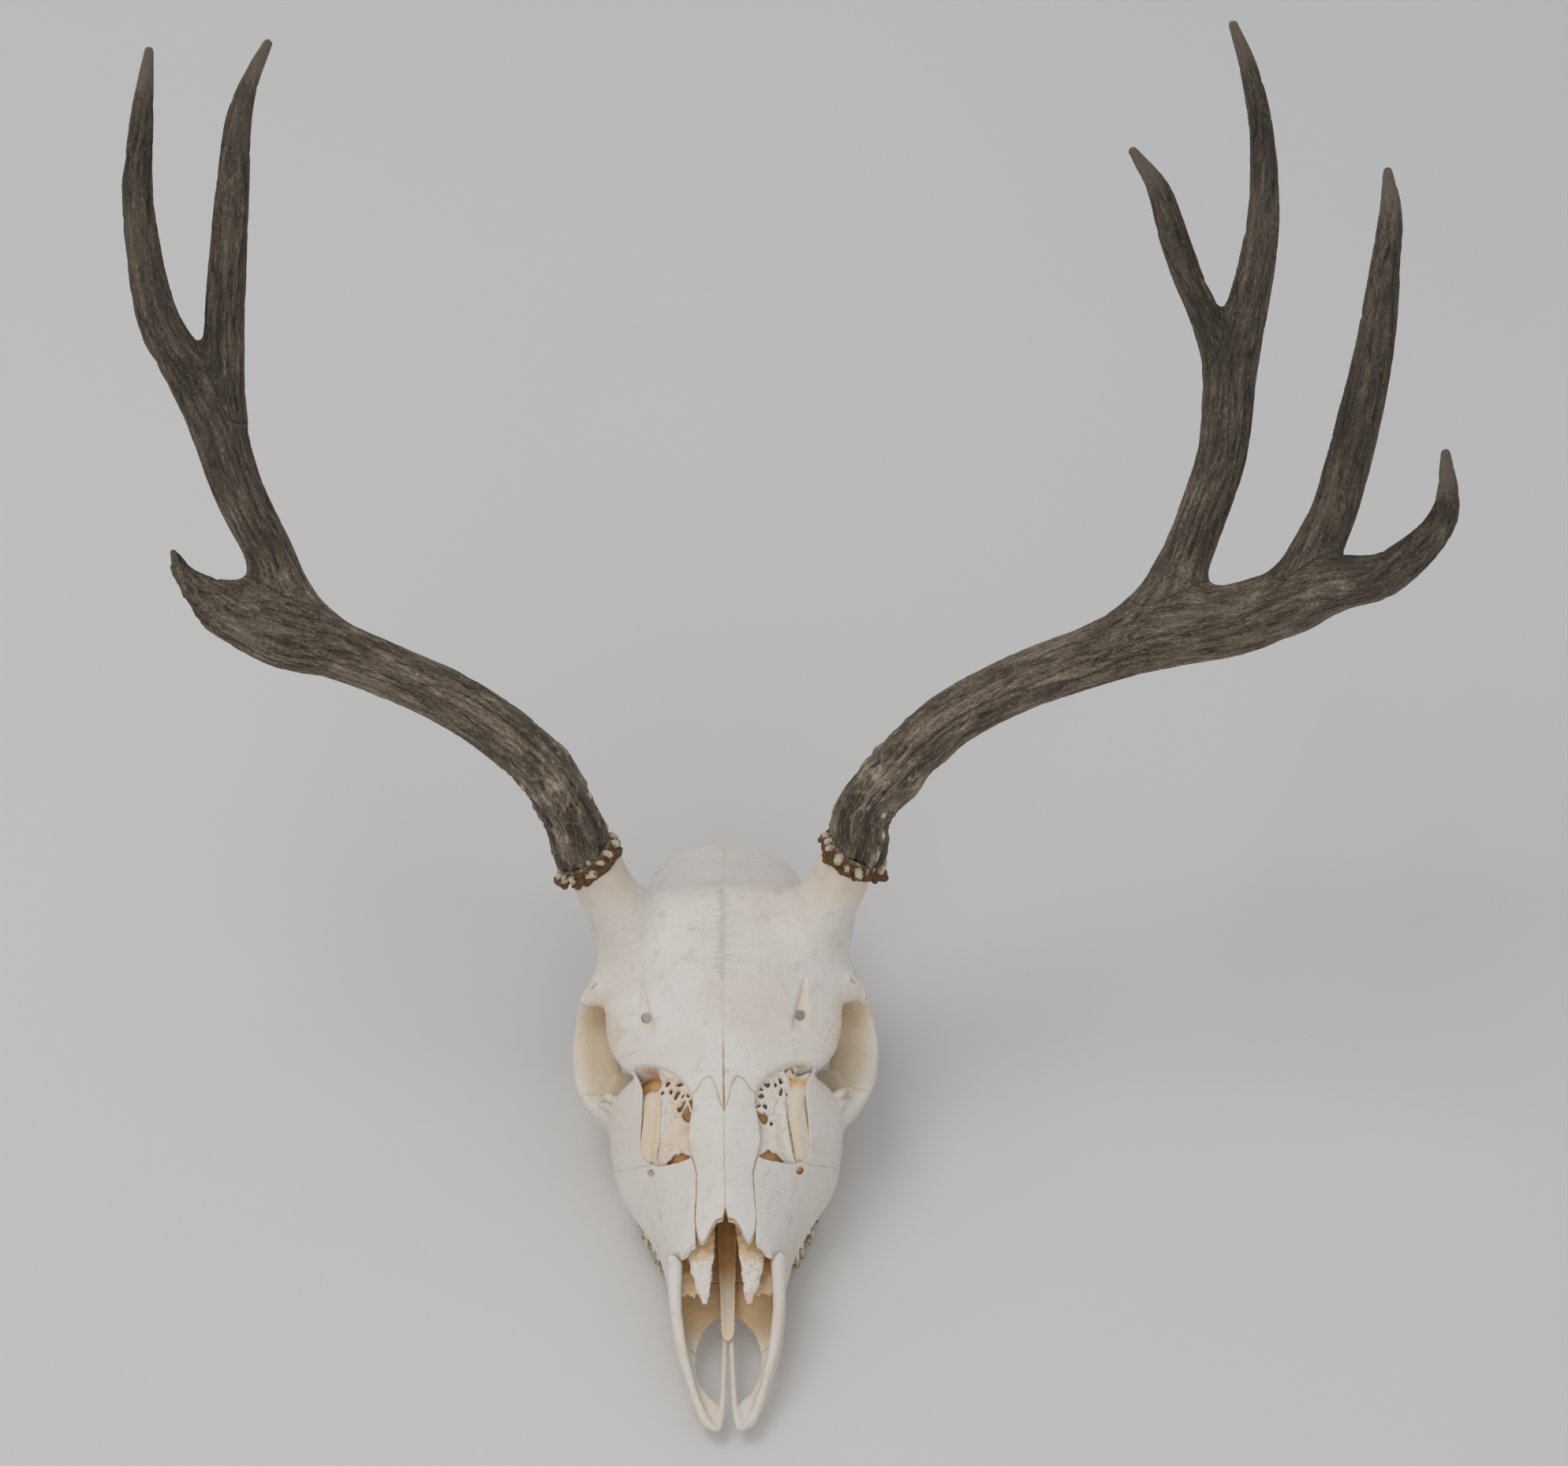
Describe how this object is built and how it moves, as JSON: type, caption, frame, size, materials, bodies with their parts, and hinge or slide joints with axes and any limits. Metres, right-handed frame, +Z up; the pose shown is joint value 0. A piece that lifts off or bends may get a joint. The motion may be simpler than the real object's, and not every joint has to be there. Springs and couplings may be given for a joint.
{
  "type": "mule deer skull with antlers",
  "caption": "Bleached deer skull without its lower jaw, with a pair of forked antlers, one fork broken off, lying face forward on its cheek teeth.",
  "frame": {"origin": "bottom centre of the bounding box, on the floor that the teeth rest on", "axes": "+X to the skull's left, across the antlers; +Y from the muzzle to the back of the head; +Z up"},
  "size_m": [0.533, 0.4216, 0.4047],
  "materials": {
    "bone": "dry, bleached, matte bone",
    "inner_bone": "thin, tan, porous bone inside the nose",
    "antler": "dark brown antler, grooved and streaked along its length",
    "burr": "brown beaded ring with pale worn tips"
  },
  "bodies": {
    "root": {"braincase": "bone", "occipital": "bone", "sphenoid": "bone", "bulla_left": "bone", "bulla_right": "bone", "frontal_left": "bone", "frontal_right": "bone", "lacrimal_left": "bone", "lacrimal_right": "bone", "maxilla_left": "bone", "maxilla_right": "bone", "nasal_left": "bone", "nasal_right": "bone", "premaxilla_left": "bone", "premaxilla_right": "bone", "zygomatic_left": "bone", "zygomatic_right": "bone", "vomer": "inner_bone", "turbinate_left": "inner_bone", "turbinate_right": "inner_bone", "ethmoid_left": "inner_bone", "ethmoid_right": "inner_bone", "antler_left_burr": "burr", "antler_right_burr": "burr", "antler_left_beam": "antler", "antler_left_front": "antler", "antler_left_front_tine": "antler", "antler_left_rear": "antler", "antler_left_rear_tine": "antler", "antler_right_beam": "antler", "antler_right_front": "antler", "antler_right_rear": "antler", "antler_right_rear_tine": "antler"}
  },
  "joints": []
}
